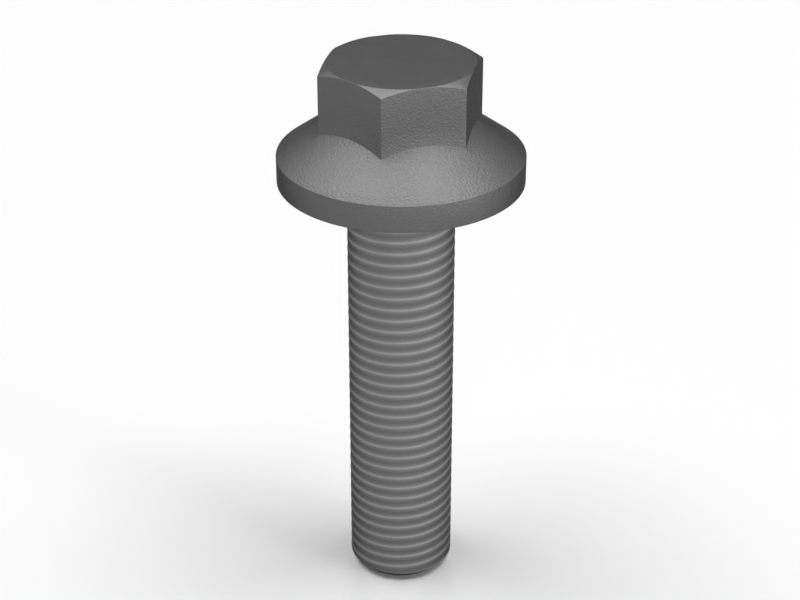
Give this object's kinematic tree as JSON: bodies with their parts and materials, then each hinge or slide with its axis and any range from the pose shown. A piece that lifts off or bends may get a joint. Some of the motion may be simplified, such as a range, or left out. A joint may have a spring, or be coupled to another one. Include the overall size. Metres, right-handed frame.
{
  "type": "flange bolt",
  "caption": "Hexagon head bolt with a wide conical flange under the head, a fully threaded shank and a chamfered flat tip.",
  "frame": {"origin": "centre of the bearing face under the flange, on the bolt's axis", "axes": "+Z along the axis from the thread to the head, two of the six flats face +X and -X"},
  "size_m": [0.0136, 0.0136, 0.0318],
  "materials": {
    "dark_steel": "satin"
  },
  "bodies": {
    "root": {"flange_bolt": "dark_steel"}
  },
  "joints": []
}
